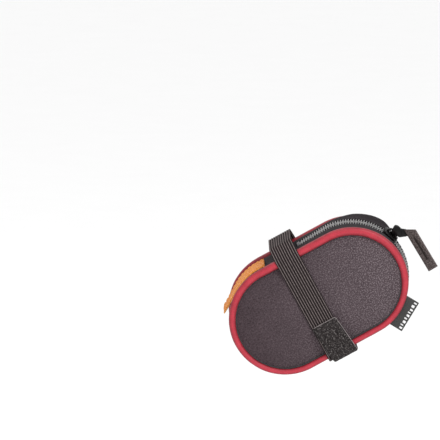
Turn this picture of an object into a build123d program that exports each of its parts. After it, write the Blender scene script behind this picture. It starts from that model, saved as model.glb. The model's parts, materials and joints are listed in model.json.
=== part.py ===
"""Small saddle bag for two saddle rails, hung by one elastic strap, in its mounted attitude.

The bag's own directions: s runs along its length towards the rear, t points away from its belly
and n points out of its near side, the bicycle's left. X is rearward, Z is up, and the origin is
midway between the two rail axes, in the middle of the strap.
"""
from build123d import *
from math import cos, radians, sin
import os

os.makedirs("parts", exist_ok=True)

# Driving dimensions, in millimetres and degrees.
TILT = 28.7
RAIL_RADIUS = 3.5
RAIL_N = 22.0
RAIL_T = 43.4

FRONT_S = -22.0
FRONT_RADIUS = 39.5
REAR_S = 31.5
REAR_RADIUS = 39.3

PIPING_RADIUS = 2.4
PIPING_N = 28.6

PANEL_INSET = 5.0
PANEL_N = 27.6
PANEL_THICKNESS = 1.4
FOAM_INSET = 5.4
FOAM_N = 24.6
FOAM_THICKNESS = 2.9
LINING_N = 24.0
LINING_THICKNESS = 0.5

GUSSET_INSET = 2.0
GUSSET_THICKNESS = 1.6
GUSSET_N = 26.1
ZIP_SLOT_N = 4.2
ZIP_RISE = 3.5

FLAP_S = 9.05
BODY_GAP = 0.3

TAPE_N = 0.9
TAPE_WIDTH = 4.9
TAPE_RADIUS_DROP = 2.6
TAPE_THICKNESS = 0.6
TEETH_N = 0.6
TEETH_WIDTH = 2.2
TEETH_HEIGHT = 1.95
STOP_LENGTH = 2.0

SLIDER_ANGLE = 19.0
SLIDER_LENGTH = 11.0
SLIDER_N = 4.2
SLIDER_CORNER = 2.0
SLIDER_GAP = 0.4
PLATE_THICKNESS = 1.2
LOWER_PLATE_GAP = 0.8
WEB_HALF = 0.3
WEB_LENGTH = 3.0
BRIDGE_LENGTH = 6.5
BRIDGE_HEIGHT = 3.0
BRIDGE_HALF = 1.0
BRIDGE_WALL = 0.9
EYE_WIDTH = 4.2
EYE_HEIGHT = 1.5
PIN_RADIUS = 0.5

PRONG_GAP_HALF = 1.5
PRONG_THICKNESS = 1.1
PRONG_RADIUS = 0.9
PRONG_LENGTH = 3.6
PULLER_LENGTH = 9.5
PULLER_HEIGHT = 6.2
PULLER_CORNER = 1.0
PULLER_THICKNESS = 2.0

FOLD_LENGTH = 5.0
FOLD_HEIGHT = 6.6
FOLD_THICKNESS = 1.8
WEBBING_WIDTH = 7.4
WEBBING_THICKNESS = 1.2
WEBBING_PIVOT = 12.5
WEBBING_DROP = 30.5
WEBBING_ANGLE = 59.0
WEBBING_GAP = 0.25

LABEL_ANGLE = -59.5
LABEL_LENGTH = 23.4
LABEL_REACH = 47.5
LABEL_ROOT = 37.7
LABEL_THICKNESS = 0.7
BAND_WIDTH = 2.6
BAND_MARGIN = 0.9
BAND_THICKNESS = 0.2

STRAP_WIDTH = 17.5
STRAP_CORNER_T = 37.5
STRAP_CLEARANCE = 0.3
ELASTIC_THICKNESS = 1.1
RAIL_CLEARANCE = 0.05
HOOK_GAP = 0.1
HOOK_THICKNESS = 0.5
TAB_THICKNESS = 1.2
TAB_TOP_T = -14.3
TAB_FAR_N = -14.0
HOOK_MARGIN = 1.5
TAB_SPLIT = 0.6

GUARD_START = 83.0
GUARD_BEND = 123.0
GUARD_TAIL = 20.0
GUARD_GAP = 0.6
GUARD_THICKNESS = 1.0
GUARD_HALF_WIDTH = 17.0

# The bag's directions and the planes that every piece is drawn on.
ALONG = Vector(cos(radians(TILT)), 0, sin(radians(TILT)))
UPWARD = Vector(-sin(radians(TILT)), 0, cos(radians(TILT)))
OUTWARD = Vector(0, -1, 0)
CENTRE = UPWARD * -RAIL_T

FRONT_CUT = Plane(origin=CENTRE + ALONG * (FLAP_S - BODY_GAP / 2), z_dir=ALONG)
REAR_CUT = Plane(origin=CENTRE + ALONG * (FLAP_S + BODY_GAP / 2), z_dir=ALONG)
STOP_CUT = REAR_CUT.offset(STOP_LENGTH)
ZIP_RADIUS = REAR_RADIUS - GUSSET_INSET + ZIP_RISE
CORNER_RADIUS = PIPING_RADIUS + STRAP_CLEARANCE
REAR_CENTRE = CENTRE + ALONG * REAR_S


def side_plane(n):
    """Plane parallel to the bag's sides, with x along the bag and y away from its belly."""
    return Plane(origin=CENTRE + OUTWARD * n, x_dir=ALONG, z_dir=OUTWARD)


def cross_plane(s):
    """Plane across the bag, with x out of the near side and y away from the belly."""
    return Plane(origin=CENTRE + ALONG * s, x_dir=OUTWARD, z_dir=-ALONG)


def outline(n, inset, rise=0.0):
    """The bag's rounded side, inset from the piping's outer edge and raised at the rear."""
    with BuildSketch(side_plane(n)) as side:
        with Locations((FRONT_S, 0)):
            Circle(FRONT_RADIUS - inset)
        with Locations((REAR_S, 0)):
            Circle(REAR_RADIUS - inset + rise)
        make_hull()
    return side.sketch


def strap_loop(offset):
    """The strap's path round the bag and over both rails, grown by an offset."""
    with BuildSketch(cross_plane(0)) as path:
        with GridLocations(2 * PIPING_N, 2 * STRAP_CORNER_T, 2, 2):
            corners = Circle(CORNER_RADIUS + offset, mode=Mode.PRIVATE)
        with Locations((-RAIL_N, RAIL_T), (RAIL_N, RAIL_T)):
            rails = Circle(RAIL_RADIUS + RAIL_CLEARANCE + offset, mode=Mode.PRIVATE)
        make_hull(corners.edges() + rails.edges())
    return path.sketch


def strap_band(offset, thickness):
    """A band as wide as the strap, all the way round its path at an offset from it."""
    with BuildPart() as band:
        extrude(strap_loop(offset + thickness), amount=STRAP_WIDTH / 2, both=True)
        extrude(strap_loop(offset), amount=STRAP_WIDTH / 2, both=True, mode=Mode.SUBTRACT)
    return band


def slider_plane(n, angle=SLIDER_ANGLE):
    """Plane parallel to the sides at the zip's rear arc, x radially out and y round the arc."""
    base = side_plane(n)
    radial = base.x_dir * cos(radians(angle)) + base.y_dir * sin(radians(angle))
    return Plane(origin=REAR_CENTRE + OUTWARD * n, x_dir=radial, z_dir=OUTWARD)


def save(piece, name):
    """Label a finished piece and write it."""
    piece.part.label = name
    export_step(piece.part, f"parts/{name}.step")


# Flat side layers: fabric panel, foam board and lining, the near ones cut at the flap's hinge.
def layer(n, inset, thickness, cut=None, keep=None):
    """One flat layer of a side, whole or on one side of the hinge."""
    with BuildPart() as sheet:
        extrude(outline(n, inset), amount=thickness)
        if cut:
            split(bisect_by=cut, keep=keep)
    return sheet


LAYERS = {
    "panel": (PANEL_N, PANEL_INSET, PANEL_THICKNESS),
    "foam": (FOAM_N, FOAM_INSET, FOAM_THICKNESS),
    "lining": (LINING_N, FOAM_INSET, LINING_THICKNESS),
}
for kind, (layer_n, layer_inset, layer_thickness) in LAYERS.items():
    save(layer(layer_n, layer_inset, layer_thickness, FRONT_CUT, Keep.BOTTOM), f"near_{kind}_front")
    save(layer(layer_n, layer_inset, layer_thickness, REAR_CUT, Keep.TOP), f"near_{kind}_rear")
    save(layer(-layer_n - layer_thickness, layer_inset, layer_thickness), f"far_{kind}")


# Piping: a round cord all the way round the edge of each side.
def piping(n, cut=None, keep=None):
    """The piping of one side, whole or on one side of the hinge."""
    with BuildPart() as cord:
        for edge in outline(n, PIPING_RADIUS).edges():
            with BuildSketch(Plane(origin=edge @ 0, z_dir=edge % 0)) as section:
                Circle(PIPING_RADIUS)
            sweep(sections=section.sketch, path=edge)
        if cut:
            split(bisect_by=cut, keep=keep)
    return cord


save(piping(PIPING_N, FRONT_CUT, Keep.BOTTOM), "near_piping_front")
save(piping(PIPING_N, REAR_CUT, Keep.TOP), "near_piping_rear")
save(piping(-PIPING_N), "far_piping")


# Gusset: a crowned band between the sides, highest where it meets the zip.
def gusset_solid(inset):
    """The space inside the gusset at one inset, from side to side."""
    with BuildPart() as body:
        for side in (1, -1):
            low = outline(side * GUSSET_N, inset)
            high = outline(side * ZIP_SLOT_N, inset, ZIP_RISE)
            loft(sections=[low, high], ruled=True)
        extrude(outline(-ZIP_SLOT_N, inset, ZIP_RISE), amount=2 * ZIP_SLOT_N)
    return body.part


GUSSET_SHELL = gusset_solid(GUSSET_INSET) - gusset_solid(GUSSET_INSET + GUSSET_THICKNESS)

with BuildPart() as gusset_front:
    add(GUSSET_SHELL)
    split(bisect_by=FRONT_CUT, keep=Keep.BOTTOM)
save(gusset_front, "gusset_front")

with BuildPart() as gusset_rear_near:
    add(GUSSET_SHELL)
    split(bisect_by=REAR_CUT, keep=Keep.TOP)
    split(bisect_by=side_plane(ZIP_SLOT_N), keep=Keep.TOP)
save(gusset_rear_near, "gusset_rear_near")

with BuildPart() as gusset_rear_far:
    add(GUSSET_SHELL)
    split(bisect_by=REAR_CUT, keep=Keep.TOP)
    split(bisect_by=side_plane(-ZIP_SLOT_N), keep=Keep.BOTTOM)
save(gusset_rear_far, "gusset_rear_far")


# Zip: a tape, a row of teeth and two end stops on each side of the slot.
def zip_strip(side, n, width, inset, thickness, cut, keep=Keep.TOP):
    """A strip along the zip on the near (1) or far (-1) side of its slot."""
    start = n if side > 0 else -n - width
    with BuildPart() as strip:
        extrude(outline(start, inset, ZIP_RISE), amount=width)
        extrude(outline(start, inset + thickness, ZIP_RISE), amount=width, mode=Mode.SUBTRACT)
        split(bisect_by=cut, keep=keep)
        if keep is Keep.BOTTOM:
            split(bisect_by=REAR_CUT, keep=Keep.TOP)
    return strip


TAPE_INSET = GUSSET_INSET + TAPE_RADIUS_DROP - TAPE_THICKNESS
for side, where in ((1, "near"), (-1, "far")):
    save(zip_strip(side, TAPE_N, TAPE_WIDTH, TAPE_INSET, TAPE_THICKNESS, REAR_CUT), f"zip_tape_{where}")
    save(zip_strip(side, TEETH_N, TEETH_WIDTH, GUSSET_INSET, TEETH_HEIGHT, STOP_CUT), f"zip_teeth_{where}")
    save(
        zip_strip(side, TEETH_N, TEETH_WIDTH, GUSSET_INSET, TEETH_HEIGHT, STOP_CUT, Keep.BOTTOM),
        f"zip_stops_{where}",
    )

# Slider: an upper plate over both rows, a lower plate inside the near row, a web and a bridge.
PLATE_LOW = ZIP_RADIUS + SLIDER_GAP
PLATE_HIGH = PLATE_LOW + PLATE_THICKNESS
LOWER_HIGH = ZIP_RADIUS - TAPE_RADIUS_DROP - LOWER_PLATE_GAP
LOWER_LOW = LOWER_HIGH - PLATE_THICKNESS
PIN_RISE = PLATE_HIGH + BRIDGE_HEIGHT - BRIDGE_WALL - EYE_HEIGHT / 2


def slider_block(low, high, length, n_low, n_high):
    """A plain block of the slider, given by its radii, its length and its reach in n."""
    with BuildSketch(slider_plane(n_low)) as face:
        with Locations(((low + high) / 2, 0)):
            Rectangle(high - low, length)
    return extrude(face.sketch, amount=n_high - n_low, mode=Mode.PRIVATE)


with BuildPart() as zip_slider:
    add(slider_block(PLATE_LOW, PLATE_HIGH, SLIDER_LENGTH, -SLIDER_N, SLIDER_N))
    fillet(zip_slider.edges().filter_by(Axis(REAR_CENTRE, slider_plane(0).x_dir)), radius=SLIDER_CORNER)
    add(slider_block(LOWER_LOW, LOWER_HIGH, SLIDER_LENGTH, -WEB_HALF, SLIDER_N))
    add(slider_block(LOWER_LOW, PLATE_HIGH, WEB_LENGTH, -WEB_HALF, WEB_HALF))
    add(slider_block(PLATE_LOW, PLATE_HIGH + BRIDGE_HEIGHT, BRIDGE_LENGTH, -BRIDGE_HALF, BRIDGE_HALF))
    with BuildSketch(slider_plane(-BRIDGE_HALF)) as eye:
        with Locations((PIN_RISE, 0)):
            Rectangle(EYE_HEIGHT, EYE_WIDTH)
    extrude(eye.sketch, amount=2 * BRIDGE_HALF, mode=Mode.SUBTRACT)
save(zip_slider, "zip_slider")

# Puller: a fork on the pin through the slider's bridge, and a flat tongue that points rearward.
PIN_PLACE = REAR_CENTRE + slider_plane(0).x_dir * PIN_RISE
PULL_PLANE = Plane(origin=PIN_PLACE, x_dir=(1, 0, 0), z_dir=OUTWARD)
PRONG_N = PRONG_GAP_HALF + PRONG_THICKNESS

with BuildPart() as puller:
    with BuildSketch(PULL_PLANE.offset(-PRONG_N)) as pin:
        Circle(PIN_RADIUS)
    extrude(pin.sketch, amount=2 * PRONG_N)
    with BuildSketch(PULL_PLANE.offset(-PRONG_N)) as prong:
        Circle(PRONG_RADIUS)
        with Locations((PRONG_LENGTH / 2, 0)):
            Rectangle(PRONG_LENGTH, 2 * PRONG_RADIUS)
    extrude(prong.sketch, amount=PRONG_THICKNESS)
    extrude(prong.sketch.moved(Location(OUTWARD * (2 * PRONG_N - PRONG_THICKNESS))), amount=PRONG_THICKNESS)
    with BuildSketch(PULL_PLANE.offset(-PULLER_THICKNESS / 2)) as tongue:
        with Locations(((PRONG_LENGTH + PULLER_LENGTH) / 2, 0)):
            RectangleRounded(PULLER_LENGTH - PRONG_LENGTH, PULLER_HEIGHT, PULLER_CORNER)
    extrude(tongue.sketch, amount=PULLER_THICKNESS)
    with BuildSketch(PULL_PLANE.offset(-PRONG_N)) as yoke:
        with Locations((PRONG_LENGTH + PRONG_THICKNESS / 2, 0)):
            Rectangle(PRONG_THICKNESS, 2 * PRONG_RADIUS)
    extrude(yoke.sketch, amount=2 * PRONG_N)
save(puller, "puller")

# Pull webbing: its folded end through the tongue, and the length that hangs in front of it.
with BuildPart() as webbing_fold:
    with BuildSketch(PULL_PLANE.offset(-FOLD_THICKNESS / 2)) as fold:
        with Locations((PULLER_LENGTH + FOLD_LENGTH / 2, 0)):
            Rectangle(FOLD_LENGTH, FOLD_HEIGHT)
    extrude(fold.sketch, amount=FOLD_THICKNESS)
save(webbing_fold, "webbing_fold")

with BuildPart() as pull_webbing:
    with BuildSketch(PULL_PLANE.offset(PULLER_THICKNESS / 2 + WEBBING_GAP)) as ribbon:
        with Locations(Location((WEBBING_PIVOT, 0), -WEBBING_ANGLE)):
            Rectangle(2 * WEBBING_DROP, WEBBING_WIDTH)
        with Locations((WEBBING_PIVOT, WEBBING_WIDTH / 2 + WEBBING_DROP)):
            Rectangle(4 * WEBBING_DROP, 2 * WEBBING_DROP, mode=Mode.SUBTRACT)
    extrude(ribbon.sketch, amount=WEBBING_THICKNESS)
save(pull_webbing, "pull_webbing")

# Label: a folded ribbon sewn in behind the near piping, with a plain light band woven into it.
LABEL_N = GUSSET_N - LABEL_THICKNESS


def label_strip(n, low, high, length):
    """A strip of the label between two radii."""
    with BuildSketch(slider_plane(n, LABEL_ANGLE)) as strip:
        with Locations(((low + high) / 2, 0)):
            Rectangle(high - low, length)
    return strip.sketch


with BuildPart() as label:
    extrude(label_strip(LABEL_N, LABEL_ROOT, LABEL_REACH, LABEL_LENGTH), amount=LABEL_THICKNESS)
save(label, "label")

with BuildPart() as label_band:
    band_high = LABEL_REACH - BAND_MARGIN
    band = label_strip(GUSSET_N, band_high - BAND_WIDTH, band_high, LABEL_LENGTH - 2 * BAND_MARGIN)
    extrude(band, amount=BAND_THICKNESS)
save(label_band, "label_band")

# Strap: an elastic loop round the bag and over both rails.
save(strap_band(0, ELASTIC_THICKNESS), "elastic_strap")

HOOK_OFFSET = ELASTIC_THICKNESS + HOOK_GAP
TAB_OFFSET = HOOK_OFFSET + HOOK_THICKNESS + HOOK_GAP


def near_face_strip(offset, thickness, low, high, width):
    """A flat strip on the strap's near face, between two heights."""
    with BuildPart() as strip:
        with BuildSketch(cross_plane(0)) as section:
            with Locations((PIPING_N + CORNER_RADIUS + offset + thickness / 2, (low + high) / 2)):
                Rectangle(thickness, high - low)
        extrude(amount=width / 2, both=True)
    return strip


# Closure: a hook patch sewn on the elastic, and a loop tab that wraps under the belly onto it.
save(
    near_face_strip(
        HOOK_OFFSET, HOOK_THICKNESS, -STRAP_CORNER_T, TAB_TOP_T - HOOK_MARGIN, STRAP_WIDTH - 2 * HOOK_MARGIN
    ),
    "hook_patch",
)
save(
    near_face_strip(TAB_OFFSET, TAB_THICKNESS, TAB_SPLIT - STRAP_CORNER_T, TAB_TOP_T, STRAP_WIDTH),
    "loop_tab_end",
)

with BuildPart() as loop_tab_base:
    add(strap_band(TAB_OFFSET, TAB_THICKNESS).part)
    split(bisect_by=Plane(origin=CENTRE - UPWARD * STRAP_CORNER_T, z_dir=UPWARD), keep=Keep.BOTTOM)
    split(bisect_by=Plane(origin=CENTRE + OUTWARD * TAB_FAR_N, z_dir=OUTWARD), keep=Keep.TOP)
save(loop_tab_base, "loop_tab_base")

# Rub guard: a thin sheet over the upper front of the gusset, its lower end standing free.
GUARD_RADIUS = FRONT_RADIUS - GUSSET_INSET + GUARD_GAP + GUARD_THICKNESS / 2

with BuildPart() as front_guard:
    with BuildSketch(side_plane(-GUARD_HALF_WIDTH)) as guard_section:
        with BuildLine():
            lap = CenterArc((FRONT_S, 0), GUARD_RADIUS, GUARD_START, GUARD_BEND - GUARD_START)
            Line(lap @ 1, lap @ 1 + (lap % 1) * GUARD_TAIL)
        trace(line_width=GUARD_THICKNESS)
    extrude(guard_section.sketch, amount=2 * GUARD_HALF_WIDTH)
save(front_guard, "front_guard")
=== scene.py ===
"""Small saddle bag: the visible model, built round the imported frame.

The bag's own directions are those of the frame's mount: s runs along the bag towards the rear, t points
away from its belly and n points out of its near side. Shapes are given in millimetres in those
directions, and place() turns them into metres in the row frame.
"""
import json
from math import acos, asin, atan2, cos, hypot, pi, radians, sin, sqrt

import bmesh
import bpy
import numpy as np
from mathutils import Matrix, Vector, noise


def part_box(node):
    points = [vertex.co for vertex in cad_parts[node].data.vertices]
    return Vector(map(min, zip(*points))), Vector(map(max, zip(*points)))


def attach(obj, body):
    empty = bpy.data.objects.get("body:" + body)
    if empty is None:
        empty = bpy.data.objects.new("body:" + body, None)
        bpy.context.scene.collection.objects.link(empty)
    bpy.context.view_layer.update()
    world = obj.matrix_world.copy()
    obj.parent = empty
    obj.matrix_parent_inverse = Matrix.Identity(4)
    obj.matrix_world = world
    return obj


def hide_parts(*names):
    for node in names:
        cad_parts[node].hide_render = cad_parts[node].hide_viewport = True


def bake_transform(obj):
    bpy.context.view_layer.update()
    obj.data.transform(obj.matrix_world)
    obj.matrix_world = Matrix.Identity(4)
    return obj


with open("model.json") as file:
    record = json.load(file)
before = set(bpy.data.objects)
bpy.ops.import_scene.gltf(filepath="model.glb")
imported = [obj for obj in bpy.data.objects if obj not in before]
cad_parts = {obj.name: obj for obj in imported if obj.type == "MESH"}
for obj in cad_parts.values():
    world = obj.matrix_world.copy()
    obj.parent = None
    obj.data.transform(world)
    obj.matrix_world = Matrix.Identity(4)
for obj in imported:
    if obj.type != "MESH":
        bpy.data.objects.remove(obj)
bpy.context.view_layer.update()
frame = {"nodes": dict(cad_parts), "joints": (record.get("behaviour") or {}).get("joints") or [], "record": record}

MM = 0.001
scene = bpy.context.scene
JOINTS = {joint["name"]: joint for joint in frame["joints"]}
RAILS = next(m for m in frame["record"]["mounts"] if m["name"] == "saddle_rails")

# The bag's outline, in millimetres, as the frame has it.
FRONT_S, FRONT_RADIUS = -22.0, 39.5
REAR_S, REAR_RADIUS = 31.5, 39.3
PIPING_RADIUS, PIPING_N = 2.4, 28.6
GUSSET_INSET, ZIP_RISE, ZIP_SLOT_N = 2.0, 3.5, 4.2
FLAP_S = 9.05
STRAP_WIDTH, CORNER_T = 17.5, 37.5
RAIL_N, RAIL_T, RAIL_RADIUS = 22.0, 43.4, 3.5

ALONG = np.array(RAILS["axis"], float)
UPWARD = np.array([-ALONG[2], 0.0, ALONG[0]])
OUTWARD = np.array([0.0, -1.0, 0.0])
REAR_CENTRE = np.array(JOINTS["zip_run"]["pos_m"], float)
CENTRE = REAR_CENTRE - REAR_S * MM * ALONG
TILT = atan2(ALONG[2], ALONG[0])

LEAN = asin((FRONT_RADIUS - REAR_RADIUS) / (REAR_S - FRONT_S))
STRAIGHT = (REAR_S - FRONT_S) * cos(LEAN)
REAR_ARC = REAR_RADIUS * (pi - 2 * LEAN)
AROUND = 2 * STRAIGHT + REAR_ARC + FRONT_RADIUS * (pi + 2 * LEAN)
BELLY_START = STRAIGHT + REAR_ARC
FLAP_TOP = (FLAP_S - FRONT_S - FRONT_RADIUS * sin(LEAN)) / cos(LEAN)
FLAP_BELLY = BELLY_START + STRAIGHT - FLAP_TOP


def place(s, t, n):
    """Points in the row frame in metres, from millimetres in the bag's own directions."""
    s, t, n = (x[..., None] for x in np.broadcast_arrays(s, t, n))
    return CENTRE + MM * (s * ALONG + t * UPWARD + n * OUTWARD)


def outline(q):
    """Points, outward normals and forward tangents of the piping's outer edge, q millimetres along it.

    q starts over the nose's centre, on top, and runs rearward, under the belly and round the nose.
    """
    q = np.mod(q, AROUND)
    nose_start = BELLY_START + STRAIGHT
    parts = [q < STRAIGHT, q < BELLY_START, q < nose_start]
    top = pi / 2 - LEAN
    angle = np.select(
        parts, [top + 0 * q, top - (q - STRAIGHT) / REAR_RADIUS, -top + 0 * q],
        -top - (q - nose_start) / FRONT_RADIUS,
    )
    at_rear = (q >= STRAIGHT) & (q < nose_start)
    radius = np.where(at_rear, REAR_RADIUS, FRONT_RADIUS)
    run = np.select(parts, [q, 0 * q, q - BELLY_START], 0 * q)
    normal = np.stack([np.cos(angle), np.sin(angle)], -1)
    tangent = np.stack([np.sin(angle), -np.cos(angle)], -1)
    centre = np.stack([np.where(at_rear, REAR_S, FRONT_S), 0 * q], -1)
    return centre + radius[..., None] * normal + run[..., None] * tangent, normal, tangent


def rise(q):
    """How far the zip stands above the piping's line, from none at the nose to all at the rear."""
    q = np.mod(q, AROUND)
    share = np.interp(q, [0, STRAIGHT, BELLY_START, BELLY_START + STRAIGHT, AROUND], [0, 1, 1, 0, 0])
    return ZIP_RISE * share


def depth(s, t):
    """How far a point of the side lies inside the piping's outer edge."""
    x, y = s - FRONT_S, np.abs(t)
    length = REAR_S - FRONT_S
    b = (FRONT_RADIUS - REAR_RADIUS) / length
    a = sqrt(1 - b * b)
    k = a * x - b * y
    front = FRONT_RADIUS - np.hypot(x, y)
    rear = REAR_RADIUS - np.hypot(x - length, y)
    return np.select([k < 0, k > a * length], [front, rear], FRONT_RADIUS - a * y - b * x)


def uneven(x, y, size, amount, seed):
    """Soft random heights for points in millimetres, the same on each run."""
    points = np.stack(np.broadcast_arrays(x, y, 0.0), -1) / size
    values = [noise.noise(Vector(p) + Vector((seed, 0.7 * seed, 0.3 * seed))) for p in points.reshape(-1, 3)]
    return amount * np.array(values).reshape(points.shape[:-1])


def even(count, whole=2 * pi):
    """Even steps round something closed."""
    return np.linspace(0, whole, count, endpoint=False)


def unit(vectors):
    """Vectors at length one."""
    return vectors / np.linalg.norm(vectors, axis=-1, keepdims=True)


def run_along(path):
    """The distance along a path at each of its points."""
    return np.hstack([0, np.cumsum(np.linalg.norm(np.diff(path, axis=0), axis=-1))])


# ---- meshes
def link(name, mesh, smooth=True):
    """A new object of a mesh, in the scene."""
    mesh.polygons.foreach_set("use_smooth", [smooth] * len(mesh.polygons))
    mesh.update()
    obj = bpy.data.objects.new(name, mesh)
    scene.collection.objects.link(obj)
    return obj


def build(name, verts, faces, smooth=True):
    """A new object of vertices in metres and faces."""
    mesh = bpy.data.meshes.new(name)
    mesh.from_pydata(verts, [], faces)
    return link(name, mesh, smooth)


def skin(name, points, uv=None, closed=False):
    """A smooth mesh over rows of rings of points, capped at its ends unless they meet."""
    nu, nv = points.shape[:2]
    i, j = np.indices((nu if closed else nu - 1, nv)).reshape(2, -1)
    rows, columns = np.stack([i, i + 1, i + 1, i], -1), np.stack([j, j, j + 1, j + 1], -1)
    faces = ((rows % nu) * nv + columns % nv).tolist()
    along, across = lengths(points, closed) if uv is None else uv
    loops = [np.stack([along[rows, columns], across[rows, columns]], -1).reshape(-1, 2)]
    if not closed:
        for row, ring in ((0, np.arange(nv)), (nu - 1, np.arange(nv)[::-1])):
            faces.append((row * nv + ring).tolist())
            loops.append(np.stack([along[row, ring], across[row, ring]], -1))
    obj = build(name, points.reshape(-1, 3).tolist(), faces)
    layer = obj.data.uv_layers.new(name="UVMap")
    layer.data.foreach_set("uv", np.concatenate(loops).astype(np.float32).ravel())
    return face_out(obj)


def lengths(points, closed):
    """Distances in metres along rows of rings and round each of them."""
    if closed:
        points = np.vstack([points, points[:1]])
    points = np.hstack([points, points[:, :1]])
    u, v = np.zeros(points.shape[:2]), np.zeros(points.shape[:2])
    u[1:] = np.cumsum(np.linalg.norm(np.diff(points, axis=0), axis=2).mean(1))[:, None]
    v[:, 1:] = np.cumsum(np.linalg.norm(np.diff(points, axis=1), axis=2).mean(0))[None]
    return u, v


def face_out(obj):
    """Turns a closed mesh's faces outward."""
    made = bmesh.new()
    made.from_mesh(obj.data)
    bmesh.ops.recalc_face_normals(made, faces=made.faces)
    made.to_mesh(obj.data)
    made.free()
    return obj


def offset(path, normal, height):
    """Both coordinates of points at heights (row, k) along the normals of a path's rows."""
    points = path[:, None] + normal[:, None] * height[..., None]
    return points[..., 0], points[..., 1]


def sweep(name, q, away, n, closed=False):
    """A closed section swept along the outline, as distances (q, k) out from it and n."""
    base, normal, _ = outline(q)
    return skin(name, place(*offset(base, normal, away), n), closed=closed)


def outline_path(q, away, n):
    """Points in metres beside the outline."""
    base, normal, _ = outline(q)
    s, t = offset(base, normal, np.broadcast_to(away, q.shape)[:, None])
    return place(s[:, 0], t[:, 0], n)


def solid(corners, origin, axes, thickness, bevel, steps=2):
    """A flat plate with rounded edges: its corners in the first two axes, raised along the third."""
    ex, ey, ez = axes
    made = bmesh.new()
    made.faces.new([made.verts.new(origin + MM * (x * ex + y * ey)) for x, y in corners])
    raised = bmesh.ops.extrude_face_region(made, geom=list(made.faces))["geom"]
    tops = [v for v in raised if isinstance(v, bmesh.types.BMVert)]
    bmesh.ops.translate(made, verts=tops, vec=Vector(ez * thickness * MM))
    bmesh.ops.recalc_face_normals(made, faces=made.faces)
    bmesh.ops.bevel(
        made, geom=list(made.edges), offset=bevel * MM, segments=steps, profile=0.5, affect="EDGES", clamp_overlap=True
    )
    mesh = bpy.data.meshes.new("plate")
    made.to_mesh(mesh)
    made.free()
    return link("plate", mesh)


def rings(ahead, beside, sides):
    """Directions round each given one, from the side that faces away from another."""
    side, turn = unit(np.cross(ahead, beside)), even(sides)[:, None]
    return side[..., None, :] * np.cos(turn) + np.cross(ahead, side)[..., None, :] * np.sin(turn)


def tube(name, path, radius, sides=10, closed=False):
    """A round tube along a path of points in metres."""
    path = np.asarray(path, float)
    ahead = np.roll(path, -1, 0) - np.roll(path, 1, 0) if closed else np.gradient(path, axis=0)
    ring = rings(unit(ahead), OUTWARD + 0.01 * ALONG, sides)
    return skin(name, path[:, None] + radius * MM * ring, closed=closed)


def thread(points, radius, sides):
    """Rings of points round a short straight thread, with a radius for each."""
    ring = rings(unit(points[-1] - points[0]), [0.31, 0.83, 0.47], sides)
    return (points[:, None] + (radius * MM)[:, None, None] * ring).reshape(-1, 3)


def bundle(name, threads, sides, smooth=True):
    """Many short closed tubes as one mesh, each given as its rings' points."""
    verts, faces, ring = [], [], np.arange(sides)
    after = np.roll(ring, -1)
    quads = np.stack([ring, after, after + sides, ring + sides], -1)
    for points in threads:
        first, last = len(verts), len(verts) + len(points) - sides
        for low in range(first, last, sides):
            faces += (quads + low).tolist()
        faces += [(ring[::-1] + first).tolist(), (ring + last).tolist()]
        verts += points.tolist()
    return build(name, verts, faces, smooth)


def merge(name, objects):
    """One object of several, under one name."""
    bpy.ops.object.select_all(action="DESELECT")
    for obj in objects:
        obj.select_set(True)
    bpy.context.view_layer.objects.active = objects[0]
    bpy.ops.object.join()
    objects[0].name = name
    objects[0].data.name = name
    return objects[0]


def stitches(name, path, gap_mm, length_mm, radius_mm):
    """A row of short thread capsules along a path of points in metres."""
    run = run_along(path) / MM
    count = int(run[-1] / (gap_mm + length_mm))
    radius = radius_mm * np.array([0.35, 0.9, 1.0, 0.9, 0.35])
    row = []
    for k in range(count):
        along = (k + 0.5) * run[-1] / count + length_mm * np.linspace(-0.5, 0.5, 5)
        row.append(thread(np.stack([np.interp(along, run, path[:, a]) for a in range(3)], -1), radius, 6))
    return bundle(name, row, 6)


# ---- materials
CORDS = 10
GUARD_RIB = 2.8
WEB_WIDTH, WEB_THICKNESS = 7.4, 1.5
WEB_FACE = WEB_WIDTH - WEB_THICKNESS
PIPING_COVER, PIPING_FULLER = 2.45, 0.42


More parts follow.
